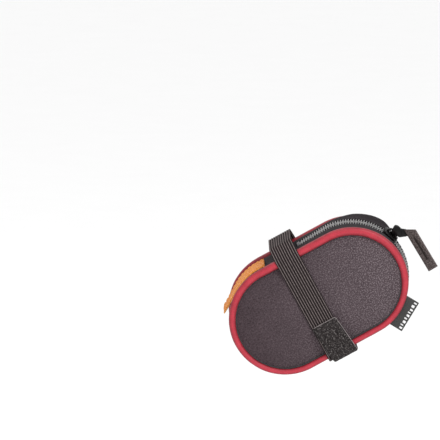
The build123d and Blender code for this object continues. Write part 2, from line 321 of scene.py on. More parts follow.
class Mat:
    """A new material, with short names for its nodes. Its coordinates are in metres."""

    def __init__(self, name, rough, sheen=0.0, sheen_rough=0.5, coat=0.0, specular=0.5, coords=None):
        self.material = bpy.data.materials.new(name)
        self.material.use_nodes = True
        self.tree = self.material.node_tree
        self.shader = self.tree.nodes["Principled BSDF"]
        names = "Roughness", "Sheen Weight", "Sheen Roughness", "Coat Weight", "Specular IOR Level"
        for key, value in zip(names, (rough, sheen, sheen_rough, coat, specular)):
            self.shader.inputs[key].default_value = value
        if coords:
            self.at = self.node("TexCoord").outputs[coords]
        else:
            self.at = self.node("UVMap", uv_map="UVMap").outputs[0]
            self.u, self.v = self.node("SeparateXYZ", {0: self.at}).outputs[:2]

    def node(self, kind, inputs=(), **settings):
        """Adds a node and fills its inputs from values or from other nodes' outputs."""
        made = self.tree.nodes.new("ShaderNode" + kind)
        for key, value in settings.items():
            setattr(made, key, value)
        for key, value in dict(inputs).items():
            if isinstance(value, bpy.types.NodeSocket):
                self.tree.links.new(value, made.inputs[key])
            else:
                made.inputs[key].default_value = value
        return made

    def maths(self, operation, a, b=0.0, c=0.0):
        """The output of a Math node."""
        return self.node("Math", {0: a, 1: b, 2: c}, operation=operation).outputs[0]

    def times(self, a, b, plus=None):
        """The product of two values, and what is added to it."""
        return self.maths("MULTIPLY", a, b) if plus is None else self.maths("MULTIPLY_ADD", a, b, plus)

    def weigh(self, *terms, clamp=False):
        """The sum of values by their weights, each given as a pair."""
        total = 0.0
        for value, weight in terms:
            total = self.times(value, weight, total)
        total.node.use_clamp = clamp
        return total

    def stretch(self, value, low, high):
        """A value mapped from low..high to 0..1 and clamped."""
        return self.node("MapRange", {"Value": value, "From Min": low, "From Max": high}).outputs[0]

    def ripple(self, coordinate, period_mm, phase=0.0):
        """A wave from 0 to 1 along a coordinate."""
        angle = self.times(coordinate, 2 * pi / (period_mm * MM), phase)
        return self.times(self.maths("SINE", angle), 0.5, 0.5)

    def speckle(self, size_mm, detail=3.0, rough=0.6):
        """Noise of about a given grain, from 0 to 1."""
        inputs = {"Vector": self.at, "Scale": 1.0 / (size_mm * MM), "Detail": detail, "Roughness": rough}
        return self.node("TexNoise", inputs).outputs[0]

    def grain(self, size_mm, low, high, detail=3.0, rough=0.6):
        """Noise with its contrast raised."""
        return self.stretch(self.speckle(size_mm, detail, rough), low, high)

    def blend(self, factor, a, b):
        """A colour between a and b."""
        a, b = (x if isinstance(x, bpy.types.NodeSocket) else (*x, 1.0) for x in (a, b))
        return self.node("Mix", {0: factor, 6: a, 7: b}, data_type="RGBA").outputs[2]

    def colour(self, factor, a, b):
        """Sets the base colour to one between a and b."""
        self.base = self.blend(factor, a, b)
        self.tree.links.new(self.base, self.shader.inputs["Base Color"])
        return self

    def bump(self, height, distance_mm, strength):
        """Adds a bump under the shader."""
        made = self.node("Bump", {"Height": height, "Distance": distance_mm * MM, "Strength": strength})
        self.tree.links.new(made.outputs[0], self.shader.inputs["Normal"])


def woven(name, dark, light, thread_mm, rough, sheen=0.15, grain_mm=1.1, bump_mm=0.12, wear=0.25, specular=0.3):
    """A woven cloth: crossing threads, a fine grain, slow shading and a little lint."""
    mat = Mat(name, rough, sheen, specular=specular)
    weft, warp = mat.ripple(mat.u, thread_mm), mat.ripple(mat.v, thread_mm)
    under_weft, under_warp = mat.maths("SUBTRACT", 1.0, weft), mat.maths("SUBTRACT", 1.0, warp)
    weave = mat.maths("MAXIMUM", mat.times(weft, warp), mat.times(under_weft, under_warp))
    grain, slow = mat.grain(grain_mm, 0.32, 0.68), mat.grain(16.0, 0.3, 0.7, 2.0)
    mat.bump(mat.weigh((weave, 0.6), (grain, 0.6)), bump_mm, 0.7)
    return mat.colour(mat.weigh((weave, 0.3), (grain, 0.5), (slow, wear)), dark, light)


def side_cloth():
    """The sides' cloth: flecked, with light and shade painted in: paler and more strongly flecked towards the rear and
    the belly, darker towards the top front where the saddle's shadow would fall.
    """
    mat = woven(
        "side_cloth", (0.015, 0.009, 0.011), (0.104, 0.075, 0.085), 0.8, 0.9,
        sheen=0.02, grain_mm=1.2, bump_mm=0.25, wear=0.14, specular=0.08,
    )
    # Painted light: this mask rises towards the rear and the belly. There the cloth is painted paler and its flecks
    # stronger; towards the top front it stays darker as painted saddle shadow.
    painted_light_mask = mat.stretch(mat.times(mat.v, -0.3, mat.u), -45 * MM, 50 * MM)
    pale, dark = mat.grain(0.85, 0.50, 0.60, 2.0, 0.7), mat.grain(0.75, 0.52, 0.60, 2.0, 0.7)
    strength = mat.times(painted_light_mask, 0.50, 0.08)
    colour = mat.blend(mat.times(painted_light_mask, 0.15), mat.base, (0.145, 0.115, 0.127))
    colour = mat.blend(mat.times(dark, strength), colour, (0.040, 0.028, 0.033))
    return mat.colour(mat.times(pale, strength), colour, (0.27, 0.225, 0.24))


def webbing_cloth():
    """Ribbed webbing with pale selvedges, and shade painted into the groove down the middle of each face."""
    mat = Mat("webbing_cloth", 0.9, 0.02, specular=0.1)
    u, v = mat.u, mat.v
    rib, twill = mat.ripple(u, 0.9), mat.ripple(mat.maths("ADD", u, v), 1.3)
    grain = mat.grain(0.9, 0.40, 0.62, 2.0, 0.7)
    half_round = WEB_FACE + pi * WEB_THICKNESS / 2
    across = mat.ripple(v, half_round, pi / 2 - pi * WEB_FACE / half_round)
    ends = mat.times(mat.stretch(u, 5.0 * MM, 7.5 * MM), mat.stretch(u, 26.0 * MM, 24.0 * MM))
    # Painted shade: each face is darkened down its middle, along the hanging length's groove.
    painted_groove_shade, selvedge = mat.times(mat.stretch(across, 0.90, 0.97), ends), mat.stretch(across, 0.35, 0.1)
    mix = mat.weigh((rib, 0.15), (twill, 0.15), (grain, 0.7), (selvedge, 0.15), clamp=True)
    mix = mat.times(mix, mat.times(painted_groove_shade, -0.85, 1.0))
    mat.bump(mix, 0.2, 0.8)
    return mat.colour(mix, (0.012, 0.009, 0.008), (0.150, 0.122, 0.118))


def piping_cloth():
    """Red coated bias tape: fine diagonal threads, with a highlight painted along the cord's outer face and painted
    shade away from it.
    """
    mat = Mat("piping_cloth", 0.40, specular=0.3)
    twill = mat.ripple(mat.maths("ADD", mat.u, mat.v), 0.8)
    grain, slow = mat.grain(0.8, 0.35, 0.65), mat.grain(7.0, 0.35, 0.65)
    # Painted highlight: a narrow bright band along the cord's outer face. The blend's dark end stands partly for the
    # tape's deep red and partly for painted shade off the highlight.
    painted_crest_highlight = mat.maths("POWER", mat.ripple(mat.v, 2 * pi * PIPING_COVER), 6.0)
    mat.bump(mat.maths("ADD", twill, grain), 0.06, 0.6)
    mix = mat.weigh((twill, 0.12), (grain, 0.22), (slow, 0.2), (painted_crest_highlight, 0.5))
    return mat.colour(mix, (0.115, 0.004, 0.009), (0.54, 0.037, 0.061))


def strap_cloth():
    """Elastic: light cords along it on a dark ground, with fine weft between."""
    mat = Mat("strap_cloth", 0.85, specular=0.06)
    cord = mat.stretch(mat.ripple(mat.v, STRAP_WIDTH / CORDS, -pi / 2), 0.72, 0.98)
    weft, grain = mat.ripple(mat.u, 1.0), mat.grain(0.7, 0.3, 0.7)
    mat.bump(mat.weigh((weft, 0.4), (grain, 1.0)), 0.12, 0.6)
    ground = mat.blend(grain, (0.007, 0.005, 0.005), (0.028, 0.022, 0.022))
    light = mat.times(cord, mat.weigh((weft, 0.35), (grain, 0.75)))
    return mat.colour(light, ground, (0.30, 0.245, 0.24))


def loop_cloth():
    """Brushed loop tape: matted fibres with pale scuffs."""
    mat = Mat("loop_cloth", 0.95, 0.02, sheen_rough=0.6, specular=0.05)
    fibre, clump = mat.grain(0.8, 0.38, 0.66, 6.0, 0.75), mat.grain(3.0, 0.35, 0.7, 4.0)
    scuff = mat.grain(1.3, 0.53, 0.68, 5.0, 0.8)
    mix = mat.times(fibre, mat.times(clump, 0.65, 0.35))
    mat.bump(mat.maths("ADD", fibre, clump), 0.45, 0.9)
    ground = mat.blend(mix, (0.006, 0.005, 0.005), (0.085, 0.072, 0.070))
    return mat.colour(mat.times(scuff, 0.7), ground, (0.42, 0.38, 0.375))


def guard_cloth():
    """Orange coated fabric, ribbed along its length, with highlights painted along the ribs' tops, broken up by the
    grain, and shade painted in the grooves between them.
    """
    mat = Mat("guard_cloth", 0.6, coat=0.02, specular=0.1)
    weave = mat.times(mat.ripple(mat.u, 1.0), mat.ripple(mat.v, 1.0))
    grain, rib = mat.grain(1.4, 0.3, 0.7), mat.ripple(mat.v, GUARD_RIB)
    mat.bump(mat.weigh((rib, 3.0), (weave, 1.0), (grain, 1.0)), 0.10, 0.6)
    colour = mat.blend(mat.weigh((weave, 0.35), (grain, 0.5)), (0.50, 0.125, 0.004), (0.86, 0.33, 0.022))
    # Painted shade: the grooves between the ribs are darkened.
    painted_furrow_shade = mat.times(mat.stretch(rib, 0.30, 0.0), 0.75)
    colour = mat.blend(painted_furrow_shade, colour, (0.36, 0.045, 0.006))
    # Painted highlight: pale streaks along the ribs' tops, broken up by the grain.
    painted_crest_highlight = mat.times(mat.stretch(rib, 0.75, 1.0), mat.times(grain, 0.95))
    return mat.colour(painted_crest_highlight, colour, (0.97, 0.62, 0.24))


def enamel():
    """Gloss black enamel with fine handling marks."""
    mat = Mat("enamel", 0.2, coat=0.1, specular=0.12, coords="Object")
    smear = mat.grain(1.6, 0.35, 0.7, 4.0)
    mat.tree.links.new(mat.times(smear, 0.18, 0.12), mat.shader.inputs["Roughness"])
    mat.bump(mat.speckle(0.9), 0.02, 0.4)
    return mat.colour(smear, (0.002, 0.002, 0.002), (0.009, 0.008, 0.009))


def plain(name, dark, light, rough, grain_mm=1.0, bump_mm=0.05):
    """A plain moulded or spun surface with a fine grain."""
    mat = Mat(name, rough, coords="Object")
    grain = mat.grain(grain_mm, 0.3, 0.7, 4.0)
    mat.bump(grain, bump_mm, 0.6)
    return mat.colour(grain, dark, light)


SIDE, WEBBING, PIPING, STRAP = side_cloth(), webbing_cloth(), piping_cloth(), strap_cloth()
LOOP, GUARD, ENAMEL = loop_cloth(), guard_cloth(), enamel()
GUSSET = woven("gusset_cloth", (0.006, 0.005, 0.006), (0.040, 0.034, 0.037), 1.0, 0.8, sheen=0.0, specular=0.08)
LINING = woven("lining_cloth", (0.10, 0.10, 0.105), (0.2, 0.2, 0.21), 0.7, 0.75, grain_mm=2.0)
TAPE = woven("tape_cloth", (0.003, 0.003, 0.003), (0.016, 0.015, 0.017), 0.8, 0.9, sheen=0.0, specular=0.05)
RIBBON = woven("ribbon", (0.018, 0.018, 0.017), (0.065, 0.066, 0.064), 0.7, 0.6, sheen=0.1, grain_mm=0.9)
TEETH = plain("teeth", (0.09, 0.088, 0.09), (0.42, 0.41, 0.41), 0.4, 0.9)
FOAM = plain("foam", (0.16, 0.16, 0.17), (0.3, 0.3, 0.31), 0.9, 1.2, 0.2)
HOOKS = plain("hooks", (0.02, 0.02, 0.021), (0.06, 0.06, 0.062), 0.5, 0.8)
THREAD = plain("thread", (0.012, 0.011, 0.012), (0.05, 0.047, 0.05), 0.8, 0.5)
PALE_THREAD = plain("pale_thread", (0.62, 0.25, 0.05), (0.85, 0.42, 0.12), 0.7, 0.5)
RIM = plain("rim", (0.10, 0.085, 0.085), (0.30, 0.26, 0.26), 0.8, 0.7)
MARK = plain("mark", (0.62, 0.62, 0.63), (0.9, 0.9, 0.9), 0.7, 0.6)


def dress(obj, mat, slot, where, *nodes):
    """Gives a piece its material and hides the nodes that it replaces; under a body's name it is attached to that body,
    and with a bend its transform is only baked in. The slot argument is not used.
    """
    obj.data.materials.clear()
    obj.data.materials.append(mat.material)
    if isinstance(where, str):
        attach(obj, where)
    else:
        child, start, end = where
        tuple(place(*start))
        tuple(place(*end))
        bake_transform(obj)
    if nodes:
        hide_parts(*nodes)
    return obj


# A short stretch beside the strap, about the flap's hinge, named for the mouth's pieces; dress() only bakes their
# transforms, so nothing bends.
BEND_START, BEND_END = FLAP_S + 1.0, FLAP_S + 22.0
FLAP_BEND = ("rear_flap", (BEND_START, 0, PIPING_N), (BEND_END, 0, PIPING_N))


# ---- the side panels
PANEL_EDGE_INSET, PANEL_EDGE_N = 3.4, 27.7
PANEL_CROWN, PANEL_THICKNESS, PANEL_ROLL = 2.4, 1.2, (6.5, 8.0)
STRAP_ROOM, STRAP_FREE = 0.25, 6.0
BOARD_INSET = 5.4
COVER_SCALE, COVER_FRAMES = 10, 30
COVER_CLOTH = {
    "quality": 6, "mass": 0.3, "tension_stiffness": 40, "compression_stiffness": 40, "shear_stiffness": 10,
    "bending_stiffness": 0.1, "vertex_group_mass": "seam", "use_pressure": True, "uniform_pressure_force": 2.0,
    "shrink_min": -0.012,
}


def half_height(s, inset):
    """Half the side's height at s, at an inset from the outline."""
    front, rear = FRONT_RADIUS - inset, REAR_RADIUS - inset
    low, high = FRONT_S + front * sin(LEAN), REAR_S + rear * sin(LEAN)
    if s < low:
        return sqrt(max(front**2 - (s - FRONT_S) ** 2, 0.0))
    if s > high:
        return sqrt(max(rear**2 - (s - REAR_S) ** 2, 0.0))
    return (front - (s - FRONT_S) * sin(LEAN)) / cos(LEAN)


def panel_crown(s, t):
    """How far the padded side stands out: pulled in at the seam, flat in the middle."""
    inside = np.maximum(depth(s, t) - PANEL_EDGE_INSET, 0)
    crown, fade = (1 - np.exp(-inside / distance) for distance in PANEL_ROLL)
    lumps = uneven(s, t, 24.0, 0.45, 3.0) + uneven(s, t, 9.0, 0.16, 8.0) - 0.3
    return PANEL_CROWN * crown + fade * lumps


def side_grid(inset, columns=120, rows=70):
    """Points (s, t) over the side inside an inset, closer together at its edge."""
    low, high = FRONT_S - FRONT_RADIUS + inset, REAR_S + REAR_RADIUS - inset
    spread = (1 - np.cos(np.linspace(0.03, pi - 0.03, columns))) / 2
    s = low + (high - low) * spread
    top = np.array([half_height(x, inset) for x in s])
    t = top[:, None] * np.sin(np.linspace(-pi / 2, pi / 2, rows))[None]
    return np.broadcast_to(s[:, None], t.shape), t


def side_layer(name, s, t, outer, inner):
    """A closed layer of the side between two faces, each given as n."""
    s, t, n = (np.hstack([x, y[:, -2:0:-1]]) for x, y in ((s, s), (t, t), (outer, inner)))
    uv = [np.hstack([x, x[:, :1]]) * MM for x in (s, t)]
    return skin(name, place(s, t, n), uv=uv)


def sewn_cover(s, t):
    """Simulates the side's cloth, cut a little large, sewn down all round and pushed out by the padding.

    It runs at COVER_SCALE times the real size, where the solver's usual stiffness suits it, and gives
    each point's (s, t, n), with n from the seam.
    """
    rows, columns = s.shape
    scale = MM * COVER_SCALE
    start = np.stack([s, t, panel_crown(s, t)], -1).reshape(-1, 3)
    index = np.arange(rows * columns).reshape(rows, columns)
    faces = np.stack([index[:-1, :-1], index[1:, :-1], index[1:, 1:], index[:-1, 1:]], -1).reshape(-1, 4)
    cover = build("cover", (start * scale).tolist(), faces.tolist())
    seam = cover.vertex_groups.new(name="seam")
    seam.add(np.hstack([index[0], index[-1], index[:, 0], index[:, -1]]).tolist(), 1.0, "ADD")
    cloth = cover.modifiers.new("cloth", "CLOTH")
    for key, value in COVER_CLOTH.items():
        setattr(cloth.settings, key, value)
    cloth.settings.effector_weights.gravity = 0.0
    cloth.collision_settings.use_collision = False
    cloth.point_cache.frame_start, cloth.point_cache.frame_end = 1, COVER_FRAMES
    for frame_number in range(1, COVER_FRAMES + 1):
        scene.frame_set(frame_number)
    settled = cover.evaluated_get(bpy.context.evaluated_depsgraph_get())
    points = np.array([v.co[:] for v in settled.data.vertices]).reshape(rows, columns, 3) / scale
    scene.frame_set(1)
    mesh = cover.data
    bpy.data.objects.remove(cover)
    bpy.data.meshes.remove(mesh)
    return points


def under_strap(s, n):
    """Holds the cover down where the strap lies over it."""
    beside = np.clip((np.abs(s) - STRAP_WIDTH / 2) / STRAP_FREE, 0, 1)
    room = PIPING_N + PIPING_RADIUS + STRAP_ROOM + 2.0 * beside**2
    return np.minimum(n, room - 0.3 * np.exp(-np.abs(room - n)))


def side_panel(name, side, cover):
    """One padded side: the simulated cover and a flat inner face."""
    s, t, rise_n = cover[..., 0], cover[..., 1], cover[..., 2]
    outer = under_strap(s, PANEL_EDGE_N + rise_n)
    inner = PANEL_EDGE_N - PANEL_THICKNESS * np.clip(depth(s, t) - PANEL_EDGE_INSET, 0, 1)
    return side_layer(name, s, t, side * outer, side * inner)


def near_board(name, low, high):
    """A flat layer behind the near side, with its rim rounded off."""
    s, t = side_grid(BOARD_INSET, 90, 40)
    middle, half_thickness = (low + high) / 2, (high - low) / 2
    full = half_thickness * np.clip((depth(s, t) - BOARD_INSET) / half_thickness + 0.3, 0.3, 1) ** 0.5
    return side_layer(name, s, t, middle + full, middle - full)


cover = sewn_cover(*side_grid(PANEL_EDGE_INSET, 90, 54))
near_nodes = ("near_panel_front", "near_panel_rear")
dress(side_panel("near_side", 1, cover), SIDE, "side_fabric", FLAP_BEND, *near_nodes)
dress(side_panel("far_side", -1, cover), SIDE, "side_fabric", "root", "far_panel")
for layer, mat, slot in (("foam", FOAM, "foam_board"), ("lining", LINING, "lining_fabric")):
    (_, near_face, _), (_, far_face, _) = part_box(f"near_{layer}_rear")
    board = near_board(f"near_{layer}_board", -far_face / MM, -near_face / MM)
    dress(board, mat, slot, FLAP_BEND, f"near_{layer}_front", f"near_{layer}_rear")


# ---- piping
def piping(name, side):
    """The covered cord round one side, a little fuller where it faces up."""
    q, turn = even(420, AROUND), even(20)
    _, normal, _ = outline(q)
    facing_up = normal @ [sin(TILT), cos(TILT)]
    radius = (PIPING_COVER + PIPING_FULLER * facing_up + uneven(q, 0.0, 7.0, 0.1, 5.0))[:, None]
    away = -PIPING_RADIUS - 0.1 + radius * np.cos(turn)
    return sweep(name, q, away, side * (PIPING_N + radius * np.sin(turn)), closed=True)


def painted_seam_shadow(name, side):
    """A thin dark cord in the seam between the piping and the side: painted shade where the piping's shadow falls."""
    q = even(300, AROUND)
    return tube(name, outline_path(q, -2 * PIPING_RADIUS - 0.25, side * (PIPING_N + 0.15)), 0.5, 8, closed=True)


dress(piping("near_piping", 1), PIPING, "piping_fabric", FLAP_BEND, "near_piping_front", "near_piping_rear")
dress(piping("far_piping_cord", -1), PIPING, "piping_fabric", "root", "far_piping")
BOTH_SIDES = (("near", 1, FLAP_BEND), ("far", -1, "root"))
# Painted shade: a dark cord in the seam between each side and its piping.
for at, side, where in BOTH_SIDES:
    dress(painted_seam_shadow(f"{at}_seam", side), THREAD, "gusset_fabric", where)

# ---- gusset
GUSSET_EDGE_N, GUSSET_THICKNESS, GUSSET_EDGE_ROUND = 27.2, 1.3, 0.35
NEAR_DROP, FAR_CROWN, SLACK = 0.72, 1.15, 0.5
# The far gusset's loose fold behind the slider: its angle round the rear, height, place and widths.
FULL_ANGLE, FULL_HEIGHT, FULL_N, FULL_WIDTH = 33.0, 4.6, -13.0, 5.5
FULL_ABOVE, FULL_BELOW = 40.0, 17.0


def gusset_height(q, n):
    """How far the gusset's outer face stands from the outline at each n."""
    share = np.clip((GUSSET_EDGE_N - np.abs(n)) / (GUSSET_EDGE_N - ZIP_SLOT_N), 0, 1)
    near = np.clip((n / ZIP_SLOT_N + 1) / 2, 0, 1)
    crown = near * share * (1 - NEAR_DROP * share**3) + (1 - near) * np.sin(share * pi / 2) ** FAR_CROWN
    slack = SLACK * np.sin(share * pi) * (1 - rise(q) / ZIP_RISE)
    wave = uneven(q, n, 11.0, 0.35, 2.0) * np.sin(share * pi)
    _, normal, _ = outline(q)
    turn = np.degrees(np.arctan2(normal[..., 1], normal[..., 0])) - FULL_ANGLE
    full = np.exp(-((turn / np.where(turn > 0, FULL_ABOVE, FULL_BELOW)) ** 2))
    fold = FULL_HEIGHT * full * np.exp(-(((n - FULL_N) / FULL_WIDTH) ** 2))
    return -GUSSET_INSET + rise(q) * crown + slack + wave + fold


def gusset_band(name, q, n_low, n_high, steps, closed):
    """A band of the gusset from n_low to n_high at each q, with rounded edges."""
    n_low, n_high = (np.broadcast_to(x, q.shape)[:, None] for x in (n_low, n_high))
    n_grid = n_low + (n_high - n_low) * np.linspace(0, 1, steps)[None]
    outer = gusset_height(q[:, None] + 0 * n_grid, n_grid)
    inner = outer - GUSSET_THICKNESS
    outer[:, [0, -1]] -= GUSSET_EDGE_ROUND
    inner[:, [0, -1]] += GUSSET_EDGE_ROUND
    away = np.hstack([outer, inner[:, ::-1]])
    return sweep(name, q, away, np.hstack([n_grid, n_grid[:, ::-1]]), closed=closed)


over_rear = np.linspace(FLAP_TOP, FLAP_BELLY, 200)
steps_at_zip = [FLAP_TOP, FLAP_TOP + 0.3, FLAP_BELLY - 0.3, FLAP_BELLY]
all_round = np.sort(np.hstack([even(300, AROUND), steps_at_zip]))
beside = (all_round > FLAP_TOP) & (all_round < FLAP_BELLY)
near_end = np.where(beside, -ZIP_SLOT_N, GUSSET_EDGE_N)
gusset_far = dress(
    gusset_band("gusset_front_and_far", all_round, -GUSSET_EDGE_N, near_end, 34, True),
    GUSSET, "gusset_fabric", "root", "gusset_front", "gusset_rear_far",
)
gusset_near = dress(
    gusset_band("gusset_near", over_rear, ZIP_SLOT_N, GUSSET_EDGE_N, 18, False),
    GUSSET, "gusset_fabric", FLAP_BEND, "gusset_rear_near",
)

# ---- zip
TOOTH_PITCH, TOOTH_SLANT = 1.8, 0.28
TOOTH_TOP, TAPE_TOP = -GUSSET_INSET + 0.05, -GUSSET_INSET - 1.55
ZIP_SLOPE, ZIP_HINGE_N = 0.40, -1.6
TAPE_EDGES, TAPE_ROUND = (0.5, 6.2), 0.3
TOPSTITCH_N = 5.7


def zip_lean(q, n):
    """How far the zip drops towards the near side."""
    return ZIP_SLOPE * (np.clip(n, -2.9, 7.0) - ZIP_HINGE_N) * rise(q) / ZIP_RISE


def zip_tape(name, side):
    """One woven tape, from under the gusset's edge to its row of teeth."""
    q = over_rear[:, None]
    turn = np.linspace(pi / 2, -pi / 2, 5)
    across = TAPE_ROUND * np.cos(turn)
    across = np.hstack([TAPE_EDGES[1] - TAPE_ROUND + across, TAPE_EDGES[0] + TAPE_ROUND - across[::-1]])
    above = TAPE_ROUND * (np.sin(np.hstack([turn, turn[::-1]])) - 1)
    n = side * (across[None] + 0 * q)
    return sweep(name, over_rear, TAPE_TOP + rise(q) + above[None] - zip_lean(q, n), n)


def tooth_row(name, side):
    """One row of coil teeth: slanting bars, each with a fuller head."""
    count = int((FLAP_BELLY - FLAP_TOP - 4.0) / TOOTH_PITCH)
    first = FLAP_TOP + 2.5 + (0.0 if side > 0 else TOOTH_PITCH / 2)
    reach = np.array([2.9, 2.2, 1.2, 0.3, -0.45, -0.85])
    girth = np.array([0.30, 0.42, 0.40, 0.36, 0.46, 0.22])
    turn = even(8)
    teeth = []
    for k in range(count):
        q = first + k * TOOTH_PITCH - side * TOOTH_SLANT * reach
        base, normal, tangent = outline(q)
        top = TOOTH_TOP + rise(q) - 0.8 - zip_lean(q, side * reach)
        away = top[:, None] + 1.5 * girth[:, None] * np.sin(turn)
        ahead = 0.85 * girth[:, None] * np.cos(turn)
        st = base[:, None] + normal[:, None] * away[..., None] + tangent[:, None] * ahead[..., None]
        teeth.append(place(st[..., 0], st[..., 1], side * reach[:, None]).reshape(-1, 3))
    return face_out(bundle(name, teeth, 8))


def topstitch(name, side):
    """The stitching along the gusset's edge, beside the zip."""
    away = gusset_height(over_rear, 0 * over_rear + side * TOPSTITCH_N) + 0.05
    return stitches(name, outline_path(over_rear, away, side * TOPSTITCH_N), 1.0, 2.2, 0.22)


for make, kind, mat in ((zip_tape, "tape", TAPE), (tooth_row, "teeth", TEETH)):
    for at, side, where in BOTH_SIDES:
        dress(make(f"{kind}_{at}", side), mat, f"zip_{kind}", where, f"zip_{kind}_{at}")
stitching = {
    at: dress(topstitch(f"zip_topstitch_{at}", side), THREAD, "gusset_fabric", where) for at, side, where in BOTH_SIDES
}

# ---- slider, puller and webbing
PIN = np.array(JOINTS["puller_swing"]["pos_m"], float)
FOLD = np.array(JOINTS["webbing_swing"]["pos_m"], float)
PIN_RADIUS = float(np.linalg.norm(PIN - REAR_CENTRE))
RADIAL = (PIN - REAR_CENTRE) / PIN_RADIUS
TANGENT = np.cross(RADIAL, OUTWARD)
X_AXIS, _, Z_AXIS = np.eye(3)


def slider_body():
    """A shield-shaped top plate with its rim, a lower plate, a web and an arched bridge."""
    lean = atan2(ZIP_SLOPE, 1.0)
    out = OUTWARD * cos(lean) - RADIAL * sin(lean)
    up = RADIAL * cos(lean) + OUTWARD * sin(lean)
    axes = (TANGENT, out, up)
    origin = REAR_CENTRE + RADIAL * (PIN_RADIUS - 2.55 * MM) + MM * ZIP_HINGE_N * (OUTWARD - out)
    rim_at, low = (origin - up * drop * MM for drop in (1.6, 5.0))
    half = [(-6.0, 2.4), (-5.0, 3.7), (-1.0, 4.2), (3.6, 3.7), (5.9, 2.4)]
    shield = [(x, -y) for x, y in half] + half[::-1]
    rim = [
        (-5.4, 3.0), (-5.0, 3.75), (-1.0, 4.25), (3.6, 3.75), (5.4, 2.7),
        (5.0, 2.5), (3.4, 3.1), (-1.0, 3.5), (-4.6, 3.1),
    ]
    web = [(-1.5, -0.3), (1.5, -0.3), (1.5, 0.3), (-1.5, 0.3)]
    turn = np.linspace(0, pi, 17)
    arch = [(4.2 * cos(a), -2.3 + 4.0 * sin(a) ** 0.75) for a in turn]
    arch += [(2.5 * cos(a), -2.3 + 3.0 * sin(a) ** 0.75) for a in turn[::-1]]
    return merge("slider_body", [
        solid(shield, origin, axes, 1.3, 0.5, 3),
        solid(rim, rim_at, axes, 2.5, 0.3),
        solid([(x, -y) for x, y in rim], rim_at, axes, 2.5, 0.3),
        solid([(x, max(y, -0.3)) for x, y in shield], low, axes, 1.2, 0.25),
        solid(web, low, axes, 5.6, 0.1),
        solid(arch, PIN - OUTWARD * 1.1 * MM, (TANGENT, RADIAL, OUTWARD), 2.2, 0.35, 3),
    ])


def puller_body():
    """A crowned fork on the bridge and a flat tongue that holds the webbing."""
    axes = (X_AXIS, Z_AXIS, OUTWARD)
    fork = [
        (-1.1, -0.9), (-0.6, -1.4), (1.6, -2.5), (4.2, -3.8), (5.8, -3.8), (5.8, 2.0),
        (4.4, 3.3), (3.2, 4.2), (1.6, 4.6), (0.6, 3.9), (-0.3, 2.2), (-1.1, 0.7),
    ]
    tongue = [(3.6, -3.6), (6.0, -3.8), (9.0, -3.5), (9.6, -3.0), (9.6, 1.2), (9.0, 1.7), (6.0, 2.1), (3.6, 3.0)]
    yoke = [(4.1, -3.2), (5.3, -3.2), (5.3, 2.0), (4.1, 2.4)]
    return merge("puller_body", [
        solid(fork, PIN + OUTWARD * 1.3 * MM, axes, 1.2, 0.4, 3),
        solid(fork, PIN - OUTWARD * 2.5 * MM, axes, 1.2, 0.4, 3),
        tube("pin", [PIN + OUTWARD * y * MM for y in np.linspace(-2.2, 2.2, 5)], 0.5, 10),
        solid(tongue, PIN - OUTWARD * 1.1 * MM, axes, 2.2, 0.55, 3),
        solid(yoke, PIN - OUTWARD * 2.3 * MM, axes, 4.6, 0.4),
    ])


def strip_grid(low, high, width, thickness, steps):
    """A flat strip with soft edges, as rings of (along, across, above) in millimetres."""
    half_w, r = width / 2, thickness / 2
    turn = np.linspace(-pi / 2, pi / 2, 6)[1:-1]
    flat = np.linspace(-half_w + r, half_w - r, 15)
    front = [(v, r) for v in flat] + [(half_w - r + r * cos(a), r * sin(a)) for a in turn[::-1]]
    back = [(-v, -r) for v in flat] + [(-half_w + r - r * cos(a), r * sin(a)) for a in turn]
    section = np.array(front + back).T
    return np.stack(np.broadcast_arrays(np.linspace(low, high, steps)[:, None], *section), -1)


def strip_mesh(name, grid, origin, ahead, across):
    """A strip's grid as a mesh, with its face outward."""
    x, y, z = np.moveaxis(grid, -1, 0)[..., None]
    return skin(name, origin + MM * (x * ahead + y * across + z * OUTWARD))


WEB_ANGLE = radians(-59.0)
WEB_DROP, WEB_TOP, WEB_N, WEB_BOW = 30.5, 1.7, 1.95, 0.35
GROOVE_HALF, GROOVE_DEPTH = 0.75, 0.5
FOLD_END = 14.5


def hanging_webbing():
    """The hanging length: cut level at the top, with a groove down its middle."""
    grid = strip_grid(0.0, 1.0, WEB_WIDTH, WEB_THICKNESS, 64)
    x, y, z = np.moveaxis(grid, -1, 0)
    start = (y * cos(WEB_ANGLE) - WEB_TOP) / sin(-WEB_ANGLE)
    x[:] = start + (WEB_DROP - start) * x
    inside = np.clip((x - 5.0) / 2, 0, 1) * np.clip((WEB_DROP - 6.0 - x) / 2, 0, 1)
    notch = np.exp(-((y / GROOVE_HALF) ** 4))
    z -= np.sign(z) * (np.abs(z) > 0.6) * GROOVE_DEPTH * inside * notch
    z += WEB_BOW * np.sin(x / WEB_DROP * pi)
    ahead, across = X_AXIS * cos(WEB_ANGLE) + Z_AXIS * sin(WEB_ANGLE), Z_AXIS * cos(WEB_ANGLE) - X_AXIS * sin(WEB_ANGLE)
    return strip_mesh("webbing_hanging", grid, FOLD + OUTWARD * WEB_N * MM, ahead, across)


def folded_webbing():
    """The folded end that comes out of the tongue, under the hanging length."""
    grid = strip_grid(8.6, FOLD_END, 4.8, 2.0, 20)
    grid[..., 2] *= 0.55 + 0.45 * np.clip((FOLD_END - grid[..., 0]) / 5.0, 0.0, 1.0)
    return strip_mesh("webbing_folded", grid, PIN - Z_AXIS * 0.9 * MM, X_AXIS, Z_AXIS)


dress(slider_body(), ENAMEL, "slider_enamel", "slider", "zip_slider")
dress(puller_body(), ENAMEL, "slider_enamel", "puller", "puller")
dress(folded_webbing(), WEBBING, "pull_webbing", "puller", "webbing_fold")
dress(hanging_webbing(), WEBBING, "pull_webbing", "webbing", "pull_webbing")

